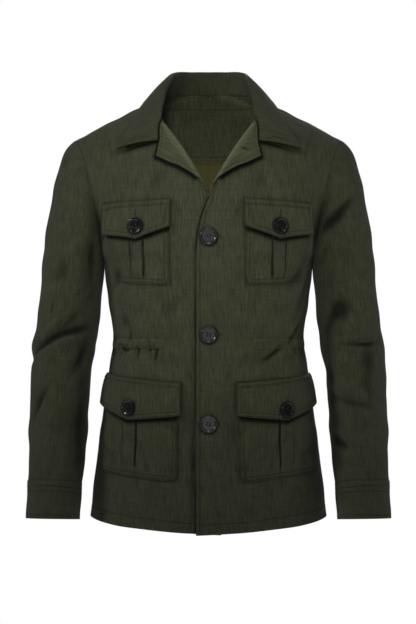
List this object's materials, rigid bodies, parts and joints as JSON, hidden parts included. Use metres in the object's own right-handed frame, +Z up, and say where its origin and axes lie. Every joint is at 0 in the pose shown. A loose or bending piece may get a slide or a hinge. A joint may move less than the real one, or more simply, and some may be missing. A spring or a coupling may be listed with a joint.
{
  "type": "single-breasted jacket",
  "caption": "Long-sleeved jacket in dark olive cloth with a buttoned front, shirt collar over short lapels, sewn cuff bands and pleated patch pockets under pointed flaps.",
  "frame": {"origin": "between the shoulder points, at the level of the shoulder seams beside the neck, midway from front to back, where the wearer's shoulders hold the jacket up", "axes": "+Z up along the wearer, +X to the wearer's left, -Y out of the jacket's front"},
  "size_m": [0.5866, 0.245, 0.758],
  "materials": {
    "olive_cloth": "dark olive linen-look plain weave, matt, with slubs",
    "olive_facing": "the same cloth on the lapel faces and front facings, matt",
    "olive_lining": "smooth olive lining with a low sheen",
    "black_button": "black, polished"
  },
  "bodies": {
    "root": {"front_left": "olive_cloth", "front_right": "olive_cloth", "back": "olive_cloth", "back_facing": "olive_cloth", "sleeve_left": "olive_cloth", "sleeve_right": "olive_cloth", "cuff_left": "olive_cloth", "cuff_right": "olive_cloth", "collar": "olive_cloth", "pocket_chest_left": "olive_cloth", "pocket_chest_right": "olive_cloth", "pocket_hip_left": "olive_cloth", "pocket_hip_right": "olive_cloth", "flap_chest_left": "olive_cloth", "flap_chest_right": "olive_cloth", "flap_hip_left": "olive_cloth", "flap_hip_right": "olive_cloth", "facing_left": "olive_facing", "facing_right": "olive_facing", "back_lining": "olive_lining", "button_front_1": "black_button", "button_front_2": "black_button", "button_front_3": "black_button", "button_chest_left": "black_button", "button_chest_right": "black_button", "button_hip_left": "black_button", "button_hip_right": "black_button"}
  },
  "joints": []
}
